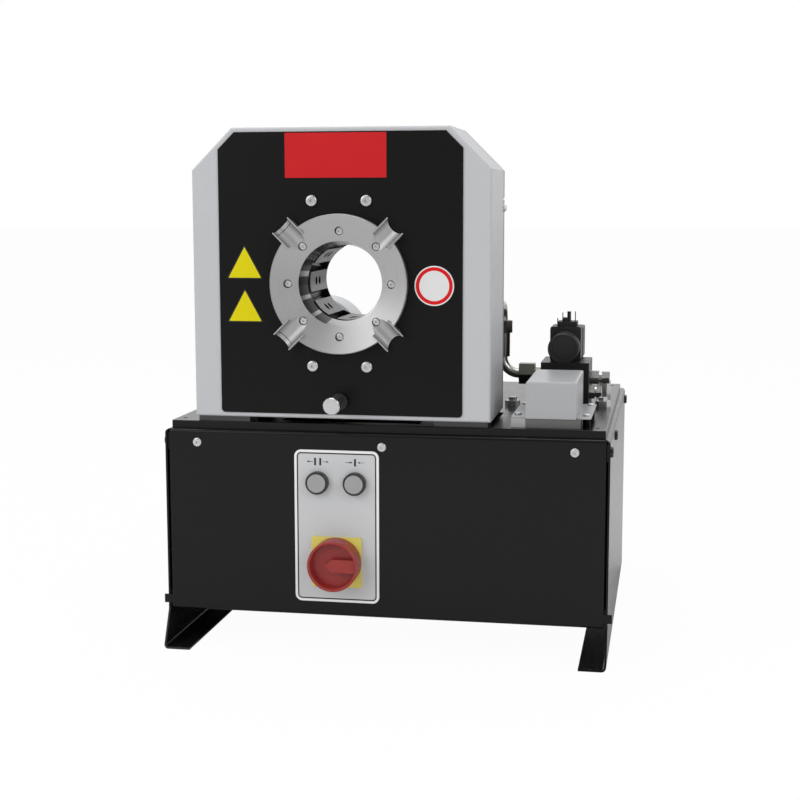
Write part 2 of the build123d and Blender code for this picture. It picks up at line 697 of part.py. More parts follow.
def die_jaw():
    """One jaw on the +X side of the axis: pie-shaped flanks, sloping back, T key and tongue."""
    flare = tan(pi / jaw_count)
    inner = throat_radius - 4
    outer = wedge_radius(jaw_front)
    half_inner = jaw_face_width / 2 - 4 * flare
    half_outer = jaw_face_width / 2 + (outer - throat_radius) * flare
    pie = Polyline((inner, jaw_front, -half_inner), (outer, jaw_front, -half_outer),
                   (outer, jaw_front, half_outer), (inner, jaw_front, half_inner), close=True)
    jaw = extrude(make_face(pie), jaw_length, dir=(0, 1, 0))
    back = [(0, jaw_front), (outer, jaw_front), (wedge_radius(jaw_rear), jaw_rear), (0, jaw_rear)]
    wire = Polyline(*[(px, py, -outer) for px, py in back], close=True)
    jaw &= extrude(make_face(wire), 2 * outer, dir=(0, 0, 1))
    key_y = (jaw_front + 6, jaw_rear - 6)
    jaw += wedge_bar(-1, key_neck_height + 1, key_neck_width / 2, key_y)
    jaw += wedge_bar(key_neck_height, key_neck_height + key_head_height, key_head_width / 2, key_y)
    jaw += block((tongue_inner, tongue_outer), (jaw_front - tongue_depth, jaw_front + 1),
                 (-tongue_width / 2, tongue_width / 2))
    jaw -= rod_y(throat_radius, 0, (jaw_front - 10, jaw_rear + 10), 0)
    middle = (jaw_front + jaw_rear) / 2 - 3
    for side in (-1, 1):
        jaw -= rod_x(jaw_pin_radius, (throat_radius - 6, throat_radius + jaw_pin_depth),
                     middle + side * jaw_pin_pitch / 2, 0)
    return jaw


for i in range(jaw_count):
    save(f"die_jaw_{i + 1}", about_head(die_jaw(), 360 / jaw_count * i))

piston_bore_end = jaw_rear + 2
piston = turned_y([(20, piston_front), (piston_radius, piston_front), (piston_radius, piston_head_rear),
                   (piston_tail_radius, piston_head_rear), (piston_tail_radius, piston_tail_rear),
                   (20, piston_tail_rear)], 0, 0)
piston_seal_y = (piston_front + 13, piston_front + 13 + seal_width)
groove = turned_y([(piston_radius - seal_depth, piston_seal_y[0]), (piston_radius + 1, piston_seal_y[0]),
                   (piston_radius + 1, piston_seal_y[1]), (piston_radius - seal_depth, piston_seal_y[1])],
                  0, 0)
piston -= groove
bore_faces = []
for y in (piston_front - 1, piston_bore_end):
    place = Plane(origin=(0, y, 0), x_dir=(1, 0, 0), z_dir=(0, 1, 0))
    octagon = RegularPolygon(wedge_radius(y) + run_gap, jaw_count, major_radius=False,
                             rotation=180 / jaw_count)
    bore_faces.append(place * octagon)
piston -= loft(bore_faces)
piston -= rod_y(piston_tail_radius - 18, 0, (piston_bore_end - 0.5, piston_tail_rear + 1), 0)
slot_y = (piston_front - 1, piston_bore_end + 1)
neck_slot = wedge_bar(0, key_neck_height + 1, key_neck_width / 2 + run_gap, slot_y)
head_slot = wedge_bar(key_neck_height - run_gap, key_neck_height + key_head_height + run_gap,
                      key_head_width / 2 + run_gap, slot_y)
for i in range(jaw_count):
    turned = Rot(0, -360 / jaw_count * i, 0)
    piston -= turned * neck_slot
    piston -= turned * head_slot
save("wedge_piston", about_head(piston, 0))

seal = turned_y([(piston_radius - seal_depth, piston_seal_y[0]), (piston_radius - shaft_gap, piston_seal_y[0]),
                 (piston_radius - shaft_gap, piston_seal_y[1]), (piston_radius - seal_depth, piston_seal_y[1])],
                head_centre_x, head_centre_z)
save("piston_seal", seal)

# ---------------------------------------------------------------- opening-stop knob
collar_front = fascia_front - 7.0
bush = turned_y([(stop_rod_radius + shaft_gap, collar_front), (stop_knob_radius, collar_front),
                 (stop_knob_radius, fascia_front), (stop_bush_radius, fascia_front),
                 (stop_bush_radius, cheek_rear), (stop_rod_radius + shaft_gap, cheek_rear)],
                head_centre_x, stop_height)
save("stop_bush", bush)
neck_rear = collar_front - stop_travel - 1
knob_front = collar_front - stop_neck_length - 6
rod_end = rear_plate_rear - 30.0
knob = turned_y([(0, knob_front), (stop_knob_radius - 1, knob_front), (stop_knob_radius, knob_front + 1),
                 (stop_knob_radius, knob_front + 7), (stop_neck_radius, knob_front + 8),
                 (stop_neck_radius, neck_rear), (stop_rod_radius, neck_rear),
                 (stop_rod_radius, rod_end), (0, rod_end)], head_centre_x, stop_height)
save("stop_knob", knob)

# ---------------------------------------------------------------- control panel
plate_z = (control_plate_centre_z - control_plate_height / 2,
           control_plate_centre_z + control_plate_height / 2)
plate_y = (cabinet_front - control_plate_thickness, cabinet_front)
control_plate = block((control_plate_centre_x - control_plate_width / 2,
                       control_plate_centre_x + control_plate_width / 2), plate_y, plate_z)
control_plate = fillet(control_plate.edges().filter_by(Axis.Y), 9)
for x in button_places:
    control_plate -= rod_y(button_hole_radius, x, panel_hole, button_height)
control_plate -= rod_y(button_hole_radius, control_plate_centre_x, panel_hole, switch_height)
save("control_plate", control_plate)

bezel_front = plate_y[0] - bezel_depth
sleeve_end = cabinet_front + 24.0
stem_radius = 5.0
bezels = []
for x in button_places:
    bezels.append(turned_y([
        (cap_radius + 0.35, bezel_front), (bezel_radius - 0.8, bezel_front),
        (bezel_radius, bezel_front + 0.8), (bezel_radius, plate_y[0]),
        (button_hole_radius - screw_gap, plate_y[0]), (button_hole_radius - screw_gap, sleeve_end),
        (stem_radius + shaft_gap, sleeve_end), (stem_radius + shaft_gap, plate_y[0] + 2),
        (cap_radius - 3, plate_y[0] + 2), (cap_radius - 3, plate_y[0] - 1.5),
        (cap_radius + 0.35, plate_y[0] - 1.5)], x, button_height))
save_group("button_bezels", bezels)
for name, x in zip(("open_button", "close_button"), button_places):
    cap_front = bezel_front - cap_proud
    cap = turned_y([(0, cap_front), (cap_radius - 0.6, cap_front), (cap_radius, cap_front + 0.6),
                    (cap_radius, cap_front + 4.2), (stem_radius, cap_front + 4.2),
                    (stem_radius, sleeve_end + 3), (0, sleeve_end + 3)], x, button_height)
    save(name, cap)
block_front = sleeve_end + 3 + button_travel + run_gap
holders = []
for x in button_places:
    holder = block((x - 15, x + 15), (sleeve_end, block_front + 30), (button_height - 20, button_height + 20))
    holder -= rod_y(stem_radius + 1, x, (sleeve_end - 1, block_front), button_height)
    holders.append(holder)
save_group("button_contact_blocks", holders)

switch_plate_front = plate_y[0] - switch_plate_thickness
half = switch_plate_size / 2
switch_plate = block((control_plate_centre_x - half, control_plate_centre_x + half),
                     (switch_plate_front, plate_y[0]), (switch_height - half, switch_height + half))
switch_plate = fillet(switch_plate.edges().filter_by(Axis.Y), 2)
collar_radius = 22.0
collar_depth = 4.0
switch_plate += rod_y(collar_radius, control_plate_centre_x,
                      (switch_plate_front - collar_depth, switch_plate_front), switch_height)
switch_plate -= rod_y(switch_shaft_radius + shaft_gap, control_plate_centre_x,
                      (switch_plate_front - 5, plate_y[0] + 1), switch_height)
save("switch_plate", switch_plate)

knob_rear = switch_plate_front - run_gap
knob_face = knob_rear - switch_knob_depth
dish_floor = knob_face + 13.0
wall = 3.6
switch_end = cabinet_front + 28.0
switch_knob = turned_y([
    (0, dish_floor), (switch_knob_radius - wall - 1.2, dish_floor), (switch_knob_radius - wall, knob_face + 0.8),
    (switch_knob_radius - wall + 0.8, knob_face), (switch_knob_radius - 0.8, knob_face),
    (switch_knob_radius, knob_face + 0.8), (switch_knob_radius, knob_rear),
    (collar_radius + 1, knob_rear), (collar_radius + 1, knob_rear - collar_depth - run_gap),
    (switch_shaft_radius, knob_rear - collar_depth - run_gap), (switch_shaft_radius, switch_end),
    (0, switch_end)], control_plate_centre_x, switch_height)
bar_half = 8.6
bar_end = switch_knob_radius - wall + 0.5
bar_points = [(-10.5, 0), (-2, -bar_half), (bar_end, -bar_half), (bar_end, bar_half), (-2, bar_half)]
bar_wire = Polyline(*[(control_plate_centre_x + px, dish_floor + 1, switch_height + pz)
                      for px, pz in bar_points], close=True)
switch_knob += extrude(make_face(bar_wire), 10.0, dir=(0, -1, 0))
save("switch_knob", switch_knob)

body_front = cabinet_front + sheet
switch_body = block((control_plate_centre_x - 32, control_plate_centre_x + 32),
                    (body_front, body_front + 62), (switch_height - 36, switch_height + 36))
switch_body -= rod_y(switch_shaft_radius + shaft_gap, control_plate_centre_x,
                     (body_front - 1, switch_end + 2), switch_height)
switch_body = chamfer(switch_body.edges().filter_by(Axis.Y), 4)
save("switch_body", switch_body)

# ---------------------------------------------------------------- oil tank and electrics inside
tank_wall = 3.0
tank_x = (-rail_inset + 6, 40.0)
tank_y = (rear_plate_rear + 30, lid_rear - 30)
tank_z = (cabinet_bottom + sheet + 2, rail_bottom - 6)
tank = block(tank_x, tank_y, tank_z)
tank = fillet(tank.edges().filter_by(Axis.Z), 12)
neck = rod_z(20, filler_place[0], filler_place[1], (tank_z[1] - 1, lid_top - sheet))
tank += neck
tank -= block((tank_x[0] + tank_wall, tank_x[1] - tank_wall), (tank_y[0] + tank_wall, tank_y[1] - tank_wall),
              (tank_z[0] + tank_wall, tank_z[1] - tank_wall))
tank -= rod_z(16.3, filler_place[0], filler_place[1], (tank_z[1] - 5, lid_top))
save("oil_tank", tank)

cap_z = lid_top
filler = rod_z(16.0, filler_place[0], filler_place[1], (cap_z - 22, cap_z))
filler += rod_z(24.0, filler_place[0], filler_place[1], (cap_z, cap_z + 16))
filler = fillet(filler.edges().group_by(Axis.Z)[-1], 3)
save("filler_cap", filler)

contactor_x = (110.0, 200.0)
contactor = block(contactor_x, (rear_plate_rear + 90, rear_plate_rear + 165),
                  (cabinet_bottom + sheet + 2, cabinet_bottom + sheet + 95))
contactor += block((contactor_x[0] + 12, contactor_x[1] - 12),
                   (rear_plate_rear + 100, rear_plate_rear + 155),
                   (cabinet_bottom + sheet + 94, cabinet_bottom + sheet + 112))
save("contactor", contactor)

gland = rod_y(10, gland_place[0], (cabinet_rear - 16, cabinet_rear - sheet_gap), gland_place[1])
gland += hex_y(27, gland_place[0], (cabinet_rear - sheet_gap, cabinet_rear + 6), gland_place[1])
gland += rod_y(11, gland_place[0], (cabinet_rear + 6, cabinet_rear + 16), gland_place[1])
gland -= rod_y(5.5, gland_place[0], (cabinet_rear - 17, cabinet_rear + 17), gland_place[1])
save("cable_gland", gland)

# ---------------------------------------------------------------- hydraulics on the lid
manifold_top = lid_top + manifold_height
manifold_right = manifold_left + manifold_width
manifold_rear = manifold_front + manifold_depth
pipe_y = manifold_front + 44.0
pipe_z = 343.5
manifold = block((manifold_left, manifold_right), (manifold_front, manifold_rear), (lid_top, manifold_top))
manifold = chamfer(manifold.edges().filter_by(Axis.Z), 1)
manifold -= rod_x(8 + screw_gap, (manifold_left - 1, manifold_left + 13), pipe_y, pipe_z)
fitting_y = (manifold_front + 42.0, manifold_front + 14.0)
fitting_z = (340.0, 322.0)
for y, z in zip(fitting_y, fitting_z):
    manifold -= rod_x(7 + screw_gap, (manifold_right - 12, manifold_right + 1), y, z)
save("manifold_block", manifold)

valve_centre_x = manifold_left + 33.2
valve_front = manifold_front + 28.0
valve_rear = valve_front + valve_length
valve_z = manifold_top + 22.0
spool_radius = 8.0
spool_travel = 3.0
valve_body = block((valve_centre_x - valve_width / 2, valve_centre_x + valve_width / 2),
                   (valve_front + coil_length, valve_rear), (manifold_top, manifold_top + valve_height))
valve_body = chamfer(valve_body.edges().filter_by(Axis.Y), 1.5)
valve_body -= rod_y(spool_radius + shaft_gap, valve_centre_x,
                    (valve_front, valve_rear - 6), valve_z)
spool = rod_y(spool_radius, valve_centre_x,
              (valve_front + coil_length + spool_travel + 1, valve_rear - 6 - spool_travel - 1), valve_z)
waist = turned_y([(5, valve_front + coil_length + 14), (9, valve_front + coil_length + 14),
                  (9, valve_front + coil_length + 22), (5, valve_front + coil_length + 22)],
                 valve_centre_x, valve_z)
save("valve_spool", spool - waist)
coil = block((valve_centre_x - 22.3, valve_centre_x + 22.3), (valve_front, valve_front + coil_length),
             (manifold_top, manifold_top + 49.8))
coil = fillet(coil.edges().filter_by(Axis.Y), 3)
coil -= rod_y(9 + screw_gap, valve_centre_x, (valve_front - 1, valve_front + coil_length - 8), valve_z)
save("solenoid_coil", coil)
nut_front = valve_front - 22.0
coil_nut = turned_y([(0, nut_front), (coil_nut_radius - 5, nut_front), (coil_nut_radius, nut_front + 3),
                     (coil_nut_radius, valve_front),
                     (9, valve_front), (9, valve_front + coil_length - 10), (0, valve_front + coil_length - 10)],
                    valve_centre_x, valve_z)
save("solenoid_nut", coil_nut)
end_cap = rod_y(20, valve_centre_x, (valve_rear, valve_rear + 14), valve_z)
end_cap = fillet(end_cap.edges().group_by(Axis.Y)[-1], 3)
save_group("valve_body", [valve_body, end_cap])

coil_top = manifold_top + 49.8
socket = block((valve_centre_x - 12, valve_centre_x + 16), (valve_front + 8, valve_front + 36),
               (coil_top, coil_top + 7))
socket += block((valve_centre_x - 6, valve_centre_x + 6), (valve_front + 14, valve_front + 30),
                (coil_top + 7, coil_top + 12))
socket += rod_z(2.8, valve_centre_x + 3.5, valve_front + 22, (coil_top + 12, coil_top + 21))
save("coil_socket", socket)
sockets = [socket]
pin_height = (12.0, 20.0, 21.0)
for dx, dy, height in zip((-12.0, -5.0, 12.5), (4.0, 10.0, 22.0), pin_height):
    on_socket = dx > -12
    foot = coil_top + (7 if on_socket else 0)
    sockets.append(block((valve_centre_x + dx - 0.6, valve_centre_x + dx + 0.6),
                         (valve_front + dy, valve_front + dy + (5 if dy < 8 else 3)),
                         (foot, coil_top + height)))
save_group("coil_socket", sockets)

# ---------------------------------------------------------------- pressure pipe and fittings
riser_x = port_place[0]
bend = 24.0
tube_start = manifold_left - 22.0
route = FilletPolyline((tube_start, pipe_y, pipe_z), (riser_x, pipe_y, pipe_z),
                       (riser_x, pipe_y, port_place[1]),
                       (riser_x, rear_plate_rear - port_depth + 1, port_place[1]), radius=bend)
pipe_face = Plane(origin=(tube_start, pipe_y, pipe_z), z_dir=(-1, 0, 0)) * Circle(pipe_radius)
pressure_pipe = sweep(pipe_face, path=route)

pump_front = motor_rear - cowl_length - stator_length - 16.0 - 20.0 - pump_length
pump_side = 38.0
motor_z = lid_top + motor_axis_height
pump_port = (motor_axis_x + pump_side, pump_front + 30.0, motor_z)
drop_x = pump_port[0] + 34.0
pump_route = FilletPolyline(pump_port, (drop_x, pump_port[1], motor_z),
                            (drop_x, pump_port[1], lid_top), radius=bend)
pump_face = Plane(origin=pump_port, z_dir=(1, 0, 0)) * Circle(pipe_radius)
pump_pipe = sweep(pump_face, path=pump_route)
save_group("pressure_pipes", [pressure_pipe, pump_pipe])

fittings = []
big_nut = hex_x(30, (tube_start - 13, tube_start + 10), pipe_y, pipe_z)
big_nut -= rod_x(pipe_radius + screw_gap, (tube_start - 14, tube_start), pipe_y, pipe_z)
big_nut += rod_x(9, (tube_start + 9, manifold_left), pipe_y, pipe_z)
big_nut += rod_x(8, (manifold_left - 1, manifold_left + 12), pipe_y, pipe_z)
fittings.append(big_nut)
sleeve = rod_z(riser_radius, riser_x, pipe_y, (pipe_z + bend + 1, pipe_z + 60))
sleeve += hex_z(24, riser_x, pipe_y, (pipe_z + 60, pipe_z + 78))
sleeve -= rod_z(pipe_radius + screw_gap, riser_x, pipe_y, (pipe_z, pipe_z + 90))
fittings.append(sleeve)
port_nut = hex_y(24, riser_x, (rear_plate_rear, rear_plate_rear + 16), port_place[1])
port_nut -= rod_y(pipe_radius + screw_gap, riser_x, (rear_plate_rear - 1, rear_plate_rear + 17),
                  port_place[1])
fittings.append(port_nut)
for (y, z), reach in zip(zip(fitting_y, fitting_z), (28.0, 18.0)):
    plug = rod_x(7, (manifold_right - 11, manifold_right), y, z)
    plug += hex_x(19, (manifold_right, manifold_right + reach * 0.45), y, z)
    plug += rod_x(7.5, (manifold_right + reach * 0.45, manifold_right + reach * 0.6), y, z)
    plug += hex_x(17, (manifold_right + reach * 0.6, manifold_right + reach), y, z)
    fittings.append(plug)
for x, y, height in ((274.0, -27.0, 9.0), (145.5, -28.0, 7.0), (268.0, 108.0, 22.0),
                     (drop_x, pump_port[1], 12.0)):
    nut = hex_z(19, x, y, (lid_top, lid_top + height))
    if x == drop_x:
        nut -= rod_z(pipe_radius + screw_gap, x, y, (lid_top - 1, lid_top + height + 1))
    else:
        nut += rod_z(6, x, y, (lid_top + height - 1, lid_top + height + 5))
    fittings.append(nut)
save_group("pipe_fittings", fittings)

# ---------------------------------------------------------------- silver relay box on the lid
box_x = (relay_box_left, relay_box_left + relay_box_width)
box_y = (lid_front + relay_box_setback, lid_front + relay_box_setback + relay_box_depth)
box_z = (lid_top + relay_box_lift, lid_top + relay_box_lift + relay_box_height)
relay_box = block(box_x, box_y, box_z)
relay_box = fillet(relay_box.edges().group_by(Axis.Z)[-1], 2.5)
relay_box -= block((box_x[0] + relay_box_sheet, box_x[1] - relay_box_sheet),
                   (box_y[0] + relay_box_sheet, box_y[1] - relay_box_sheet),
                   (box_z[0] - 1, box_z[1] - relay_box_sheet))
relief = 4.0
box_feet = []
for side, edge in ((-1, box_x[0]), (1, box_x[1])):
    flange = block(sorted((edge - side * relay_box_sheet, edge + side * relay_flange_width)),
                   (box_y[0] + relief, box_y[1] - relief), (box_z[0], box_z[0] + relay_box_sheet))
    flange = fillet([e for e in flange.edges().filter_by(Axis.Z)
                     if abs(e.center().X - edge) > relay_flange_width - 1], 3)
    relay_box += flange
    for y in (box_y[0] + 26, box_y[1] - 18):
        box_feet.append((edge + side * (relay_flange_width - 7), y))
standoffs = []
for x, y in box_feet:
    relay_box -= rod_z(2.5 + screw_gap, x, y, (box_z[0] - 1, box_z[0] + 3))
    post = rod_z(5, x, y, (lid_top, box_z[0]))
    screw = rod_z(4.6, x, y, (box_z[0] + relay_box_sheet, box_z[0] + relay_box_sheet + 2.6))
    screw = fillet(screw.edges().group_by(Axis.Z)[-1], 1.4)
    screw += rod_z(2.5, x, y, (box_z[0] - 8, box_z[0] + relay_box_sheet))
    post -= rod_z(2.5 + screw_gap, x, y, (box_z[0] - 9, box_z[0] + 1))
    standoffs += [post, screw]
save("relay_box", relay_box)
save_group("relay_box_standoffs", standoffs)

# ---------------------------------------------------------------- motor and pump
cowl_front = motor_rear - cowl_length
stator_front = cowl_front - stator_length
flange_front = stator_front - 16.0
cowl_wall = 1.5
cowl = turned_y([(motor_radius - cowl_wall, cowl_front), (motor_radius, cowl_front),
                 (motor_radius, motor_rear - 4), (motor_radius - 4, motor_rear), (0, motor_rear),
                 (0, motor_rear - cowl_wall), (motor_radius - 5, motor_rear - cowl_wall),
                 (motor_radius - cowl_wall, motor_rear - 5)], motor_axis_x, motor_z)
slot_count = 12
for i in range(slot_count):
    slot = block((18, 50), (motor_rear - 3, motor_rear + 1), (-2.2, 2.2))
    cowl -= Pos(motor_axis_x, 0, motor_z) * Rot(0, -360 / slot_count * i, 0) * slot
save("motor_cowl", cowl)

stator = turned_y([(rotor_radius + 1, stator_front + 3), (stator_radius, stator_front + 3),
                   (stator_radius, cowl_front - 3), (rotor_radius + 1, cowl_front - 3)],
                  motor_axis_x, motor_z)
fin_count = 28
for i in range(fin_count):
    fin = block((stator_radius - 1, motor_radius - cowl_wall - 1.5), (stator_front + 3, cowl_front - 3),
                (-1.2, 1.2))
    stator += Pos(motor_axis_x, 0, motor_z) * Rot(0, -360 / fin_count * i, 0) * fin
motor_feet = block((motor_axis_x - 56, motor_axis_x + 56), (stator_front + 15, cowl_front - 20),
                   (lid_top, lid_top + 8))
motor_feet += block((motor_axis_x - 34, motor_axis_x + 34), (stator_front + 20, cowl_front - 25),
                    (lid_top + 7, motor_z - stator_radius * 0.75))
motor_feet -= rod_y(stator_radius - 1, motor_axis_x, (stator_front, cowl_front), motor_z)
stator += motor_feet
front_shield = turned_y([(motor_shaft_radius + shaft_gap, flange_front), (50, flange_front),
                         (motor_radius - 4, stator_front), (motor_radius - 4, stator_front + 3),
                         (motor_shaft_radius + shaft_gap, stator_front + 3)], motor_axis_x, motor_z)
rear_shield = turned_y([(motor_shaft_radius + shaft_gap, cowl_front - 3), (stator_radius, cowl_front - 3),
                        (motor_radius - cowl_wall, cowl_front - 3 + 2), (motor_radius - cowl_wall, cowl_front + 3),
                        (motor_shaft_radius + shaft_gap, cowl_front + 3)], motor_axis_x, motor_z)
terminal_box = block((motor_axis_x - motor_radius - 34, motor_axis_x - motor_radius + 3),
                     (stator_front + 20, stator_front + 95), (motor_z - 32, motor_z + 32))
terminal_box = fillet(terminal_box.edges().filter_by(Axis.X), 6)
save_group("motor_body", [stator + front_shield + rear_shield + terminal_box])

rotor = turned_y([(0, flange_front - 10), (motor_shaft_radius, flange_front - 10),
                  (motor_shaft_radius, stator_front + 8), (rotor_radius, stator_front + 8),
                  (rotor_radius, cowl_front - 10), (motor_shaft_radius, cowl_front - 10),
                  (motor_shaft_radius, motor_rear - 14), (0, motor_rear - 14)], motor_axis_x, motor_z)
fan_y = (motor_rear - 38, motor_rear - 16)
rotor += rod_y(20, motor_axis_x, fan_y, motor_z)
blade_count = 6
for i in range(blade_count):
    blade = block((18, motor_radius - 10), fan_y, (-1.5, 1.5))
    rotor += Pos(motor_axis_x, 0, motor_z) * Rot(0, -360 / blade_count * i, 0) * blade
save("motor_rotor", rotor)

pump_flange = rod_y(50, motor_axis_x, (flange_front - 20, flange_front), motor_z)
pump = block((motor_axis_x - pump_side, motor_axis_x + pump_side),
             (pump_front, flange_front - 20), (motor_z - 42, motor_z + 42))
pump = chamfer(pump.edges().filter_by(Axis.Y), 8)
pump += pump_flange
pump -= rod_y(motor_shaft_radius + shaft_gap, motor_axis_x, (flange_front - 14, flange_front + 1), motor_z)
save("pump_body", pump)
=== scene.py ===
"""Looks of the hose crimping machine: painted sheets, brushed ring, ground jaws, controls and hydraulics."""
import math

import bmesh
import bpy
from mathutils import Matrix, Vector


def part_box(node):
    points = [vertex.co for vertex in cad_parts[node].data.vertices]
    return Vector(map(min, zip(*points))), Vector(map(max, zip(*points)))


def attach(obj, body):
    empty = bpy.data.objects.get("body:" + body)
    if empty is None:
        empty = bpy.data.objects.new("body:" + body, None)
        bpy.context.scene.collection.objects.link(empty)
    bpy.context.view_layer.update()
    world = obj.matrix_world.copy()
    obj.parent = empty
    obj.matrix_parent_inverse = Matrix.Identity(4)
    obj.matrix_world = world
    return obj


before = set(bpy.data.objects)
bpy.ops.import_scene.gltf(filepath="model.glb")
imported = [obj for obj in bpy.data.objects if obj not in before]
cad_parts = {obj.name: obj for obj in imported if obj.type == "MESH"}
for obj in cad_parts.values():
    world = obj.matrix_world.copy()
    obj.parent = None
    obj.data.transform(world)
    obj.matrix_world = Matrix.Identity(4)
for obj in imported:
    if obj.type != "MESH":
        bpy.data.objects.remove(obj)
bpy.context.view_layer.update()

MACHINE = "machine"


# ------------------------------------------------------------------ finishes
class Value:
    """A number that changes over a surface; sums on it add Math nodes."""

    def __init__(self, nodes, socket):
        self.nodes = nodes
        self.socket = socket

    def math(self, operation, *others):
        inputs = dict(enumerate([self, *others]))
        return self.nodes.out("ShaderNodeMath", {"operation": operation}, inputs)

    def __add__(self, other):
        return self.math("ADD", other)

    __radd__ = __add__

    def __sub__(self, other):
        return self.math("SUBTRACT", other)

    def __rsub__(self, other):
        return self.nodes.out("ShaderNodeMath", {"operation": "SUBTRACT"}, {0: other, 1: self})

    def __mul__(self, other):
        return self.math("MULTIPLY", other)

    __rmul__ = __mul__

    def __pow__(self, other):
        return self.math("POWER", other)

    def __abs__(self):
        return self.math("ABSOLUTE")

    def __gt__(self, other):
        return self.math("GREATER_THAN", other)

    def at_least(self, other):
        return self.math("MAXIMUM", other)

    def at_most(self, other):
        return self.math("MINIMUM", other)


class Nodes:
    """The nodes of a material or of the world."""

    def __init__(self, owner):
        owner.use_nodes = True
        self.tree = owner.node_tree
        self.tree.nodes.clear()

    def node(self, kind, settings={}, inputs={}):
        made = self.tree.nodes.new(kind)
        for key, setting in settings.items():
            setattr(made, key, setting)
        for key, given in inputs.items():
            self.give(made.inputs[key], given)
        return made

    def out(self, kind, settings={}, inputs={}, output=0):
        return Value(self, self.node(kind, settings, inputs).outputs[output])

    def give(self, socket, given):
        if isinstance(given, Value):
            given = given.socket
        if isinstance(given, bpy.types.NodeSocket):
            self.tree.links.new(given, socket)
        else:
            socket.default_value = given


class Finish(Nodes):
    """One surface finish: a material with its Principled shader."""

    def __init__(self, name, **fixed):
        self.material = bpy.data.materials.new(name)
        super().__init__(self.material)
        self.shader = self.node("ShaderNodeBsdfPrincipled")
        self.node("ShaderNodeOutputMaterial", {}, {0: self.shader.outputs[0]})
        for socket, amount in fixed.items():
            self.set(socket.replace("_", " "), amount)
        self.place = self.node("ShaderNodeTexCoord").outputs["Object"]
        parts = self.node("ShaderNodeSeparateXYZ", {}, {0: self.place})
        self.x, self.y, self.z = [Value(self, out) for out in parts.outputs]

    def set(self, socket, given):
        self.give(self.shader.inputs[socket], given)

    def noise(self, scale, detail=2.0, roughness=0.5, stretch=(1, 1, 1)):
        """Cloudy value from 0 to 1; scale is in spots per metre."""
        mapped = self.node("ShaderNodeMapping", {}, {"Vector": self.place, "Scale": stretch})
        return self.out("ShaderNodeTexNoise", {}, {
            "Vector": mapped.outputs[0], "Scale": scale, "Detail": detail, "Roughness": roughness})

    def mix(self, amount, low, high):
        """Colour between two colours."""
        return self.out("ShaderNodeMix", {"data_type": "RGBA"}, {0: amount, 6: low, 7: high}, 2)

    def step(self, value, low, high):
        """0 below low, 1 above high, smooth between."""
        return self.out("ShaderNodeMapRange", {"interpolation_type": "SMOOTHSTEP"}, {
            "Value": value, "From Min": low, "From Max": high})

    def between(self, value, low, high, soft=1.0):
        """1 from low to high, 0 outside, with soft ends."""
        return self.step(value, low - soft, low) * (1 - self.step(value, high, high + soft))

    def bump(self, height, depth):
        made = self.node("ShaderNodeBump", {}, {"Height": height, "Distance": depth, "Strength": 1.0})
        self.set("Normal", made.outputs[0])


def grey(level):
    return (level, level, level, 1.0)


def shades(colour, spread):
    """A darker and a lighter shade of a colour."""
    return [tuple(c * (1 + way * spread) for c in colour) + (1.0,) for way in (-1, 1)]


def painted(name, colour, rough, ior=1.35, peel=0.00004, spread=0.06):
    """Powder coat: slight colour clouds, uneven gloss and orange peel."""
    made = Finish(name, IOR=ior)
    made.set("Base Color", made.mix(made.noise(9.0, 3.0), *shades(colour, spread)))
    made.set("Roughness", rough + (made.noise(60.0, 3.0) - 0.5) * 0.08)
    made.bump(made.noise(420.0, 1.0), peel)
    return made


def metal(name, colour, rough, grain=(1, 1, 1), scale=300.0, depth=0.00002, spread=0.1):
    """Machined metal with a grain that runs along the axes with small stretch."""
    made = Finish(name, Metallic=1.0)
    streak = made.noise(scale, 3.0, 0.6, grain)
    made.set("Base Color", made.mix(streak, *shades(colour, spread)))
    made.set("Roughness", rough + (streak - 0.5) * 0.18)
    made.bump(streak, depth)
    return made


def plastic(name, colour, rough, grain=900.0, depth=0.00003, ior=1.45):
    """Moulded plastic with a fine spark-eroded grain."""
    made = Finish(name, IOR=ior)
    made.set("Base Color", made.mix(made.noise(25.0, 2.0), *shades(colour, 0.05)))
    made.set("Roughness", rough + (made.noise(90.0, 2.0) - 0.5) * 0.1)
    made.bump(made.noise(grain, 1.0), depth)
    return made



# ------------------------------------------------------------------ places taken from the frame
head_low, head_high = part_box("face_ring")
head_x = (head_low.x + head_high.x) / 2
head_z = (head_low.z + head_high.z) / 2
plate_low, plate_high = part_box("control_plate")
fascia_low, fascia_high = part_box("front_fascia")
fascia_x = (fascia_low.x + fascia_high.x) / 2
fascia_z = fascia_high.z - 0.195
round_x = fascia_x + 0.1243
round_z = fascia_z - 0.0013
round_radius = 0.0257
lid_low, lid_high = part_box("lid")
manifold_low, manifold_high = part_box("manifold_block")
box_low, box_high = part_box("relay_box")
side_screws_from = 0.2945      # screws further out than this sit on the cabinet's sides


# ------------------------------------------------------------------ this machine's finishes
black_coat = painted("black_powder_coat", (0.006, 0.006, 0.006), 0.2, 1.27)
fascia_coat = painted("fascia_black", (0.007, 0.007, 0.007), 0.32, 1.2, 0.00003)
silver_coat = painted("silver_paint", (0.44, 0.445, 0.46), 0.36, 1.4, 0.00003, 0.02)
cover_coat = painted("cover_grey_paint", (0.2, 0.2, 0.205), 0.4, 1.4, 0.00003, 0.03)
cowl_coat = painted("motor_grey_paint", (0.5, 0.51, 0.52), 0.38, 1.4, 0.00004, 0.02)
box_coat = painted("relay_box_silver", (0.345, 0.35, 0.362), 0.3, 1.4, 0.00003, 0.02)
tank_coat = painted("tank_black", (0.015, 0.015, 0.015), 0.35)


mouth_radius = 0.0553
mouth_painted_dark_reflection = (-70.0, 81.0)     # painted dark reflection in the mouth, in degrees up from the left, round the head's axis
# angles of the painted light strips that stand for reflected lights across the mouth's dark side
mouth_painted_reflection_strips = ((36.0, 44.0), (47.0, 51.0), (10.0, 17.0), (-23.0, -18.0), (-51.0, -46.0))


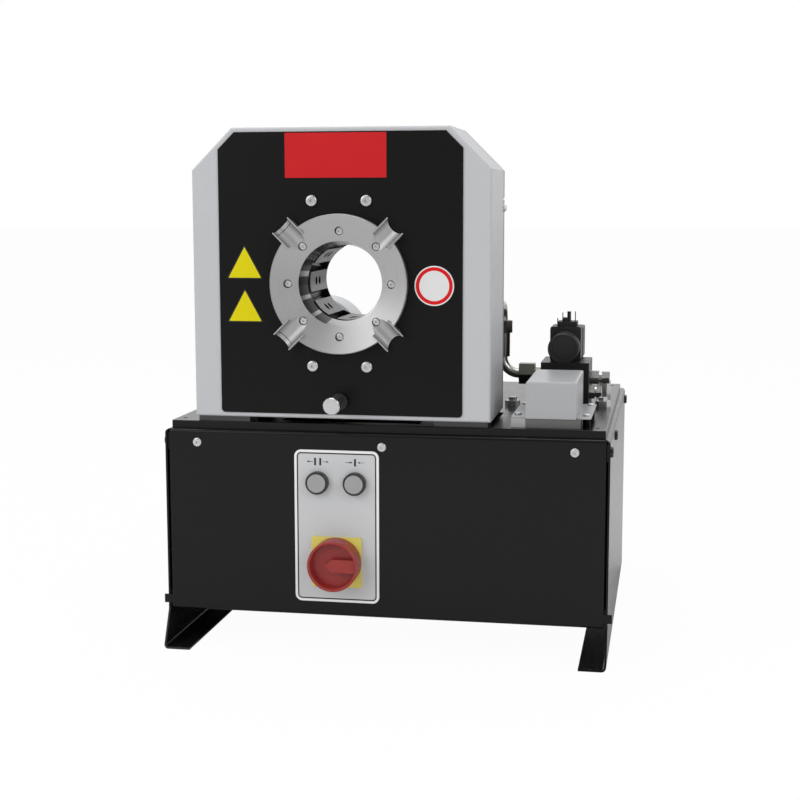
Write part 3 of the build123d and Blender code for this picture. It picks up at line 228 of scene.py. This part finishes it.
def ring_finish():
    """Turned face with concentric marks. The mouth's dark side and light strips are a painted reflection of a
    dark room with light strips, not a real one.
    """
    made = Finish("turned_ring_steel", Metallic=1.0)
    across = made.x - head_x
    up = made.z - head_z
    radius = (across * across + up * up) ** 0.5
    line = made.node("ShaderNodeCombineXYZ", {}, {0: radius, 1: made.y * 0.3})
    marks = made.out("ShaderNodeTexNoise", {}, {
        "Vector": line.outputs[0], "Scale": 1400.0, "Detail": 2.0})
    mouth = 1 - made.step(radius, mouth_radius, mouth_radius + 0.0003)
    turn = up.math("ARCTAN2", -1.0 * across) * (180 / math.pi)
    dark_from, dark_to = mouth_painted_dark_reflection
    dark = made.step(turn, dark_from - 1, dark_from + 1) * (1 - made.step(turn, dark_to - 2, dark_to + 2))
    strips = made.between(turn, *mouth_painted_reflection_strips[0])
    for strip in mouth_painted_reflection_strips[1:]:
        strips = strips + made.between(turn, *strip)
    # painted reflection: the mouth's dark side, broken by the painted light strips
    shade = (dark * (1 - strips)).at_least(0.0)
    tone = made.mix(marks, grey(0.38), grey(0.49))
    made.set("Base Color", made.mix(mouth * shade, tone, grey(0.02)))
    made.set("Roughness", (0.5 + (marks - 0.5) * 0.16) * (1 - mouth) + 0.16 * mouth)
    made.bump(marks, 0.000012)
    return made


def control_plate_finish():
    """Pale plate with a white border and a black line inside it."""
    made = Finish("control_plate_print", IOR=1.4)
    centre = (plate_low + plate_high) / 2
    half_x = (plate_high.x - plate_low.x) / 2
    half_z = (plate_high.z - plate_low.z) / 2
    corner = 0.009
    over_x = (abs(made.x - centre.x) - (half_x - corner)).at_least(0.0)
    over_z = (abs(made.z - centre.z) - (half_z - corner)).at_least(0.0)
    curved = (over_x * over_x + over_z * over_z) ** 0.5
    inside = (half_x - abs(made.x - centre.x)).at_most(half_z - abs(made.z - centre.z))
    in_corner = (over_x > 0.00001) * (over_z > 0.00001)
    edge = inside * (1 - in_corner) + (corner - curved) * in_corner
    line = made.step(edge, 0.0031, 0.0034) * (1 - made.step(edge, 0.0049, 0.0052))
    border = 1 - made.step(edge, 0.0040, 0.0041)
    cloud = made.noise(12.0, 3.0)
    field = made.mix(cloud, (0.465, 0.472, 0.48, 1), (0.51, 0.514, 0.525, 1))
    pale = made.mix(border, field, grey(0.72))
    made.set("Base Color", made.mix(line, pale, grey(0.012)))
    made.set("Roughness", 0.33 + (made.noise(70.0, 2.0) - 0.5) * 0.08)
    made.bump(made.noise(600.0, 1.0), 0.00002)
    return made


def round_plate_finish():
    """White disc with a red ring near its edge."""
    made = Finish("round_plate_print", IOR=1.25)
    across = made.x - round_x
    up = made.z - round_z
    radius = (across * across + up * up) ** 0.5
    ring = made.step(radius, 0.0193, 0.0195) * (1 - made.step(radius, 0.0239, 0.0241))
    made.set("Base Color", made.mix(ring, grey(0.62), (0.56, 0.006, 0.009, 1)))
    made.set("Roughness", 0.45 + (made.noise(60.0, 2.0) - 0.5) * 0.08)
    made.bump(made.noise(500.0, 1.0), 0.00001)
    return made


def two_tone(name, low, high, rough, side):
    """Plated metal whose colour changes where side, a function of the finish, passes zero."""
    made = Finish(name, Metallic=1.0)
    streak = made.noise(260.0, 3.0)
    there = made.step(side(made), -0.0002, 0.0002)
    made.set("Base Color", made.mix(there, low, high))
    made.set("Roughness", rough + (streak - 0.5) * 0.2)
    made.bump(streak, 0.00002)
    return made


def relay_base_finish():
    """Mid-grey, with a paler stretch of painted light under the box's left flange."""
    made = Finish("relay_base_grey", IOR=1.35)
    # painted light: the paler stretch under the left flange; the rest is the piece's mid-grey
    left = 1 - made.step(made.x, box_low.x + 0.0185, box_low.x + 0.0190)
    made.set("Base Color", made.mix(left, grey(0.12), grey(0.33)))
    made.set("Roughness", 0.42 + (made.noise(60.0, 3.0) - 0.5) * 0.08)
    made.bump(made.noise(420.0, 1.0), 0.00003)
    return made


def cabinet_screw_finish():
    """Zinc at the front, and black as the panels on the cabinet's sides."""
    made = Finish("zinc_and_black_screws")
    side = made.step(abs(made.x), side_screws_from, side_screws_from + 0.0003)
    made.set("Metallic", 1 - side)
    made.set("Base Color", made.mix(side, grey(0.62), grey(0.006)))
    made.set("Roughness", 0.34 - side * 0.1 + (made.noise(500.0, 2.0) - 0.5) * 0.12)
    made.bump(made.noise(600.0, 2.0), 0.00002)
    return made


ring_steel = ring_finish()
base_grey = relay_base_finish()
round_print = round_plate_finish()
plate_print = control_plate_finish()
jaw_steel = metal("ground_jaw_steel", (0.125, 0.125, 0.125), 0.36, (1, 0.06, 1), 700.0)
plate_steel = metal("dark_plate_steel", (0.08, 0.08, 0.08), 0.45)
piston_steel = metal("piston_steel", (0.25, 0.25, 0.25), 0.3)
post_steel = two_tone("post_zinc_and_rubber", grey(0.012), grey(0.62), 0.4,
                      lambda made: (made.z - box_low.z).at_least(box_low.x + 0.01 - made.x))
cabinet_zinc = cabinet_screw_finish()
zinc = metal("zinc_screw", (0.62, 0.62, 0.62), 0.34, scale=600.0, spread=0.15)
bright_steel = metal("bright_turned_steel", (0.62, 0.62, 0.63), 0.22, (0.1, 1, 0.1), 900.0)
liner_dark = metal("liner_dark_steel", (0.05, 0.05, 0.05), 0.45)
bolt_black = metal("black_bolt", (0.05, 0.05, 0.05), 0.4)
fitting_zinc = two_tone("zinc_fitting", (0.16, 0.155, 0.135, 1), (0.6, 0.6, 0.59, 1), 0.3,
                        lambda made: (made.x - manifold_low.x).at_least(lid_high.z + 0.02 - made.z))
pipe_zinc = metal("pale_zinc_pipe", (0.45, 0.46, 0.44), 0.3, (0.2, 1, 1), 300.0, spread=0.2)
anodised = painted("black_anodised", (0.012, 0.012, 0.012), 0.34, 1.35, 0.00002)
coil_plastic = plastic("coil_black_plastic", (0.012, 0.012, 0.012), 0.42)
cap_black = plastic("coil_cap_black", (0.02, 0.02, 0.02), 0.3)
rubber = plastic("seal_rubber", (0.02, 0.02, 0.02), 0.7)
cap_grey = plastic("button_cap_grey", (0.285, 0.285, 0.285), 0.42, 500.0, 0.00005)
bezel_dark = metal("bezel_dark_metal", (0.06, 0.06, 0.06), 0.35)
switch_yellow = plastic("switch_yellow", (0.62, 0.54, 0.105), 0.42)
switch_red = plastic("switch_red", (0.27, 0.022, 0.018), 0.36)
plate_red = plastic("bare_plate_red", (0.475, 0.016, 0.019), 0.5, ior=1.15)
plate_yellow = plastic("bare_plate_yellow", (0.6, 0.52, 0.004), 0.45, ior=1.2)
print_black = plastic("symbol_black", (0.012, 0.012, 0.012), 0.45)
plate_black = plastic("bare_plate_black", (0.005, 0.005, 0.005), 0.5)

finishes = {
    "left_side_panel": black_coat, "right_side_panel": black_coat, "front_panel": black_coat,
    "rear_panel": black_coat, "floor_tray": black_coat, "cross_rails": black_coat, "lid": black_coat,
    "head_saddle": tank_coat, "head_brackets": tank_coat, "front_fascia": fascia_coat,
    "oil_tank": tank_coat, "head_skin": silver_coat, "head_rear_cover": cover_coat,
    "relay_box": box_coat, "motor_body": cowl_coat, "motor_cowl": cowl_coat, "tail_guard": silver_coat,
    "front_pressure_plate": plate_steel, "rear_pressure_plate": plate_steel,
    "cylinder_housing": plate_steel, "pump_body": plate_steel, "face_ring": ring_steel,
    "wedge_piston": piston_steel, "motor_rotor": piston_steel, "valve_spool": piston_steel,
    "cabinet_screws": cabinet_zinc, "head_screws": zinc, "head_bracket_bolts": zinc, "face_ring_screws": zinc,
    "tie_bolts": bolt_black, "piston_seal": rubber, "relay_box_standoffs": post_steel,
    "stop_bush": bolt_black, "stop_knob": bright_steel, "pressure_pipes": pipe_zinc,
    "pipe_fittings": fitting_zinc, "control_plate": plate_print, "button_bezels": bezel_dark,
    "open_button": cap_grey, "close_button": cap_grey, "button_contact_blocks": coil_plastic,
    "switch_body": coil_plastic, "contactor": coil_plastic, "solenoid_coil": coil_plastic,
    "solenoid_nut": coil_plastic, "coil_socket": coil_plastic, "cable_gland": coil_plastic,
    "filler_cap": coil_plastic, "switch_plate": switch_yellow, "switch_knob": switch_red,
    "manifold_block": anodised, "valve_body": anodised,
}
for number in range(1, 9):
    finishes["die_jaw_%d" % number] = jaw_steel
for name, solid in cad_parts.items():
    solid.data.materials.clear()
    solid.data.materials.append(finishes[name].material)


# ------------------------------------------------------------------ new pieces
def finished(name, mesh, finish):
    """Turn a bmesh into a piece that rides on the machine's standing body."""
    bmesh.ops.recalc_face_normals(mesh, faces=mesh.faces)
    data = bpy.data.meshes.new(name)
    mesh.to_mesh(data)
    mesh.free()
    data.materials.append(finish.material)
    piece = bpy.data.objects.new(name, data)
    bpy.context.collection.objects.link(piece)
    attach(piece, MACHINE)


def ease_front(mesh, front):
    """Small bevel round the edges that lie in the front plane."""
    rim = [e for e in mesh.edges if all(abs(v.co.y - front) < 1e-7 for v in e.verts)]
    bmesh.ops.bevel(mesh, geom=rim, offset=eased_edge, affect="EDGES", segments=2, profile=0.5, material=-1)


def rounded_plate(mesh, outline, front, back, corner=0.0):
    """Plate with the outline given in X and Z, rounded corners and an eased front edge."""
    corners = [mesh.verts.new((x, front, z)) for x, z in outline]
    face = mesh.faces.new(corners)
    if corner:
        bmesh.ops.bevel(mesh, geom=corners, offset=corner, affect="VERTICES", segments=5,
                        profile=0.5, material=-1)
        mesh.faces.ensure_lookup_table()
        face = mesh.faces[-1]
    grown = bmesh.ops.extrude_face_region(mesh, geom=[face])
    moved = [v for v in grown["geom"] if isinstance(v, bmesh.types.BMVert)]
    bmesh.ops.translate(mesh, verts=moved, vec=(0, back - front, 0))
    ease_front(mesh, front)


def plate_piece(name, outline, corner, finish, front, back):
    mesh = bmesh.new()
    rounded_plate(mesh, outline, front, back, corner)
    finished(name, mesh, finish)


def rectangle(centre_x, centre_z, width, height):
    return [(centre_x - width / 2, centre_z - height / 2), (centre_x + width / 2, centre_z - height / 2),
            (centre_x + width / 2, centre_z + height / 2), (centre_x - width / 2, centre_z + height / 2)]


def disc(mesh, radius, x, z, front, back):
    """Round plate facing the front."""
    turned = Matrix.Translation((x, (front + back) / 2, z)) @ Matrix.Rotation(math.radians(90), 4, "X")
    bmesh.ops.create_cone(mesh, cap_ends=True, segments=48, radius1=radius, radius2=radius,
                          depth=back - front, matrix=turned)
    ease_front(mesh, front)


eased_edge = 0.00025
fascia_front = fascia_low.y
plate_thick = 0.0005
plate_sink = 0.0002            # how far a plate's back reaches into what carries it
plate_piece("maker_plate_bare", rectangle(fascia_x - 0.0043, fascia_z + 0.1648, 0.1335, 0.0573), 0.0008,
            plate_red, fascia_front - plate_thick, fascia_front + plate_sink)


def triangle(centre_x, top, side, height):
    return [(centre_x - side / 2, top - height), (centre_x + side / 2, top - height), (centre_x, top)]


side_plate_x = fascia_x - 0.1266
for number, top in enumerate([0.0473, -0.0094], 1):
    plate_piece("side_plate_rim_%d" % number, triangle(side_plate_x, fascia_z + top + 0.0032, 0.0496, 0.0448),
                0.0016, plate_black, fascia_front - 0.0003, fascia_front + plate_sink)
    plate_piece("side_plate_bare_%d" % number, triangle(side_plate_x, fascia_z + top, 0.0441, 0.0401),
                0.0008, plate_yellow, fascia_front - plate_thick, fascia_front - 0.0001)
mesh = bmesh.new()
disc(mesh, round_radius, round_x, round_z, fascia_front - plate_thick, fascia_front + plate_sink)
finished("round_plate_bare", mesh, round_print)


# ------------------------------------------------------------------ grey form under the relay box
mesh = bmesh.new()
base_right = box_high.x - 0.013
base = Matrix.LocRotScale(
    ((box_low.x + base_right) / 2, (box_low.y + box_high.y) / 2, (box_low.z + lid_high.z) / 2), None,
    (base_right - box_low.x, box_high.y - box_low.y - 0.002, box_low.z - lid_high.z - 0.0001))
bmesh.ops.create_cube(mesh, size=1.0, matrix=base)
bmesh.ops.bevel(mesh, geom=[e for e in mesh.edges if abs(e.verts[0].co.z - e.verts[1].co.z) > 0.001],
                offset=0.001, affect="EDGES", segments=2, profile=0.5, material=-1)
finished("relay_box_base", mesh, base_grey)


# ------------------------------------------------------------------ liner of the throat
def turned_ring(mesh, profile, segments=96, x=head_x, z=head_z):
    """Closed profile of radius and Y, spun about a line along Y."""
    corners = [mesh.verts.new((x + radius, y, z)) for radius, y in profile]
    sides = [mesh.edges.new((corners[i - 1], corners[i])) for i in range(len(corners))
             if profile[i - 1][0] + profile[i][0] > 0]
    bmesh.ops.spin(mesh, geom=corners + sides, cent=(x, 0, z), axis=(0, 1, 0),
                   angle=math.radians(360), steps=segments, use_merge=True)
    bmesh.ops.remove_doubles(mesh, verts=mesh.verts, dist=0.00001)


guard_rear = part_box("tail_guard")[1].y
lip_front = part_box("die_jaw_1")[1].y + 0.0026
lip_rear = lip_front + 0.002
collar_front = guard_rear - 0.003
lip_radius, tube_inner, tube_outer, collar_radius = 0.0505, 0.0635, 0.0665, 0.0925
mesh = bmesh.new()
turned_ring(mesh, [(lip_radius, lip_front), (tube_outer, lip_front), (tube_outer, collar_front),
                   (collar_radius, collar_front), (collar_radius, guard_rear), (tube_inner, guard_rear),
                   (tube_inner, lip_rear), (lip_radius, lip_rear)])
finished("throat_liner", mesh, liner_dark)


# ------------------------------------------------------------------ tips of the left gutters and their painted shadow lines
def gutter_shell(name, turn, reach, inner, thick, finish):
    """Bent strip along a gutter's round floor; reach is from and to, out from the head's axis."""
    half_angle = math.radians(74)
    mesh = bmesh.new()
    centre = Vector((reach[0], gutter_centre, 0))
    corners = [mesh.verts.new(Vector((out, gutter_centre + deep, 0)))
               for out, deep in ((reach[0], inner), (reach[1], inner),
                                 (reach[1], inner + thick), (reach[0], inner + thick))]
    face = mesh.faces.new(corners)
    bmesh.ops.rotate(mesh, verts=mesh.verts, cent=centre, matrix=Matrix.Rotation(-half_angle, 3, "X"))
    bmesh.ops.spin(mesh, geom=[face], cent=centre, axis=(1, 0, 0), angle=2 * half_angle, steps=24)
    place = Matrix.Translation((head_x, 0, head_z)) @ Matrix.Rotation(math.radians(-turn), 4, "Y")
    bmesh.ops.transform(mesh, matrix=place, verts=mesh.verts)
    finished(name, mesh, finish)


gutter_floor = fascia_low.y - 0.0012
gutter_radius = 0.01355
gutter_centre = gutter_floor - gutter_radius
for number, turn in enumerate((135, 225), 1):
    gutter_shell("gutter_tip_%d" % number, turn, (0.0970, 0.1055), gutter_radius + 0.00005, 0.0010,
                 ring_steel)
    # thin black strip inside each left gutter: a painted shadow along the step near the tip
    gutter_shell("gutter_shadow_line_%d" % number, turn, (0.0995, 0.1003), gutter_radius - 0.0001, 0.0004,
                 plate_black)


# ------------------------------------------------------------------ cap of the solenoid nut
nut_low, nut_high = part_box("solenoid_nut")
cap_x = (nut_low.x + nut_high.x) / 2 - 0.0016
cap_z = (nut_low.z + nut_high.z) / 2 - 0.0024
cap_front = nut_low.y - 0.0012
mesh = bmesh.new()
turned_ring(mesh, [(0.0, cap_front), (0.0150, cap_front), (0.0154, cap_front + 0.0006),
                   (0.0186, cap_front + 0.0006), (0.0190, cap_front), (0.0214, cap_front),
                   (0.0223, cap_front + 0.0009), (0.0223, cap_front + 0.0110), (0.0, cap_front + 0.0110)],
            64, cap_x, cap_z)
finished("solenoid_nut_cap", mesh, cap_black)


# ------------------------------------------------------------------ symbols over the buttons
symbol_lift = 0.0276
symbol_front = plate_low.y - 0.0001


def arrow(tip_x, tail_x, z):
    """Slim arrow with a solid head, from its tail to its tip."""
    way = 1 if tip_x > tail_x else -1
    neck = tip_x - way * 0.0036
    line = 0.0004
    wide = 0.0015
    return [(tip_x, z), (neck, z + wide), (neck, z + line), (tail_x, z + line),
            (tail_x, z - line), (neck, z - line), (neck, z - wide)]


def button_symbol(name, button, bars, arrows):
    """Bars and arrows printed on the control plate over a button."""
    low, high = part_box(button)
    x = (low.x + high.x) / 2
    z = (low.z + high.z) / 2 + symbol_lift
    mesh = bmesh.new()
    for offset in bars:
        rounded_plate(mesh, rectangle(x + offset, z, 0.0028, 0.0100), symbol_front, plate_low.y + plate_sink)
    for tip, tail in arrows:
        rounded_plate(mesh, arrow(x + tip, x + tail, z), symbol_front, plate_low.y + plate_sink)
    finished(name, mesh, print_black)


button_symbol("open_symbol", "open_button", (-0.0035, 0.0035), ((-0.0152, -0.0066), (0.0152, 0.0066)))
button_symbol("close_symbol", "close_button", (0.0,), ((-0.0030, -0.0128), (0.0030, 0.0128)))


# ------------------------------------------------------------------ floor, light and camera
floor_drop = 0.0004
floor_glow = 0.965             # share of plain white that the camera sees on the floor; the rest keeps shadow
mesh = bmesh.new()
bmesh.ops.create_grid(mesh, x_segments=1, y_segments=1, size=30.0)
bmesh.ops.translate(mesh, verts=mesh.verts, vec=(0, 0, -floor_drop))
floor_data = bpy.data.meshes.new("studio_floor")
mesh.to_mesh(floor_data)
mesh.free()
floor = bpy.data.objects.new("studio_floor", floor_data)
bpy.context.collection.objects.link(floor)

floor_look = bpy.data.materials.new("studio_floor_white")
nodes = Nodes(floor_look)
rays = nodes.node("ShaderNodeLightPath")
matte = nodes.node("ShaderNodeBsdfDiffuse", {}, {"Color": grey(0.8)})
glow = nodes.node("ShaderNodeEmission", {}, {"Strength": 1.0})
blend = nodes.node("ShaderNodeMixShader", {}, {
    0: Value(nodes, rays.outputs["Is Camera Ray"]) * floor_glow, 1: matte.outputs[0], 2: glow.outputs[0]})
nodes.node("ShaderNodeOutputMaterial", {}, {0: blend.outputs[0]})
floor_data.materials.append(floor_look)

# The world is white to the camera, plain to diffuse light, and for glossy rays darker in front than behind.
world = bpy.data.worlds.new("studio")
bpy.context.scene.world = world
nodes = Nodes(world)
rays = nodes.node("ShaderNodeLightPath")
way = nodes.node("ShaderNodeTexCoord")
split = nodes.node("ShaderNodeSeparateXYZ", {}, {0: way.outputs["Generated"]})
behind = nodes.out("ShaderNodeMapRange", {"interpolation_type": "SMOOTHSTEP"}, {
    "Value": split.outputs["Y"], "From Min": -0.45, "From Max": 0.25, "To Min": 0.25, "To Max": 1.0})
seen = Value(nodes, rays.outputs["Is Camera Ray"]).at_least(Value(nodes, rays.outputs["Is Transmission Ray"]))
mirrored = nodes.out("ShaderNodeMix", {"data_type": "FLOAT"}, {
    0: rays.outputs["Is Glossy Ray"], 2: 0.62, 3: behind})
level = nodes.out("ShaderNodeMix", {"data_type": "FLOAT"}, {0: seen, 2: mirrored, 3: 1.0})
back = nodes.node("ShaderNodeBackground", {}, {"Color": grey(1.0), "Strength": level})
nodes.node("ShaderNodeOutputWorld", {}, {0: back.outputs[0]})


def lamp(name, place, aim, size, watts):
    data = bpy.data.lights.new(name, "AREA")
    data.shape = "RECTANGLE"
    data.size, data.size_y = size
    data.energy = watts
    made = bpy.data.objects.new(name, data)
    bpy.context.collection.objects.link(made)
    made.location = place
    made.rotation_euler = (Vector(aim) - Vector(place)).to_track_quat("-Z", "Y").to_euler()


middle = (0.0, 0.0, 0.4)
lamp("front_left_softbox", (-2.2, -2.6, 2.1), middle, (3.0, 2.4), 60.0)
lamp("front_right_softbox", (2.4, -2.0, 1.9), middle, (1.4, 1.6), 26.0)
lamp("top_softbox", (-0.2, 0.2, 2.8), middle, (2.2, 2.2), 30.0)

camera_data = bpy.data.cameras.new("camera")
camera_data.sensor_width = 36.0
camera_data.lens = 66.94
camera_data.clip_end = 100.0
camera = bpy.data.objects.new("camera", camera_data)
bpy.context.collection.objects.link(camera)
camera.location = (0.3681, -2.1354, 0.5965)
camera_yaw, camera_pitch, camera_roll = 10.4, -7.62, -0.07
camera_turn = Matrix.Rotation(math.radians(camera_yaw), 4, "Z")
camera_tip = Matrix.Rotation(math.radians(90 + camera_pitch), 4, "X")
camera_lean = Matrix.Rotation(math.radians(camera_roll), 4, "Z")
camera.rotation_euler = (camera_turn @ camera_tip @ camera_lean).to_euler()
bpy.context.scene.camera = camera
bpy.context.scene.view_settings.view_transform = "Standard"
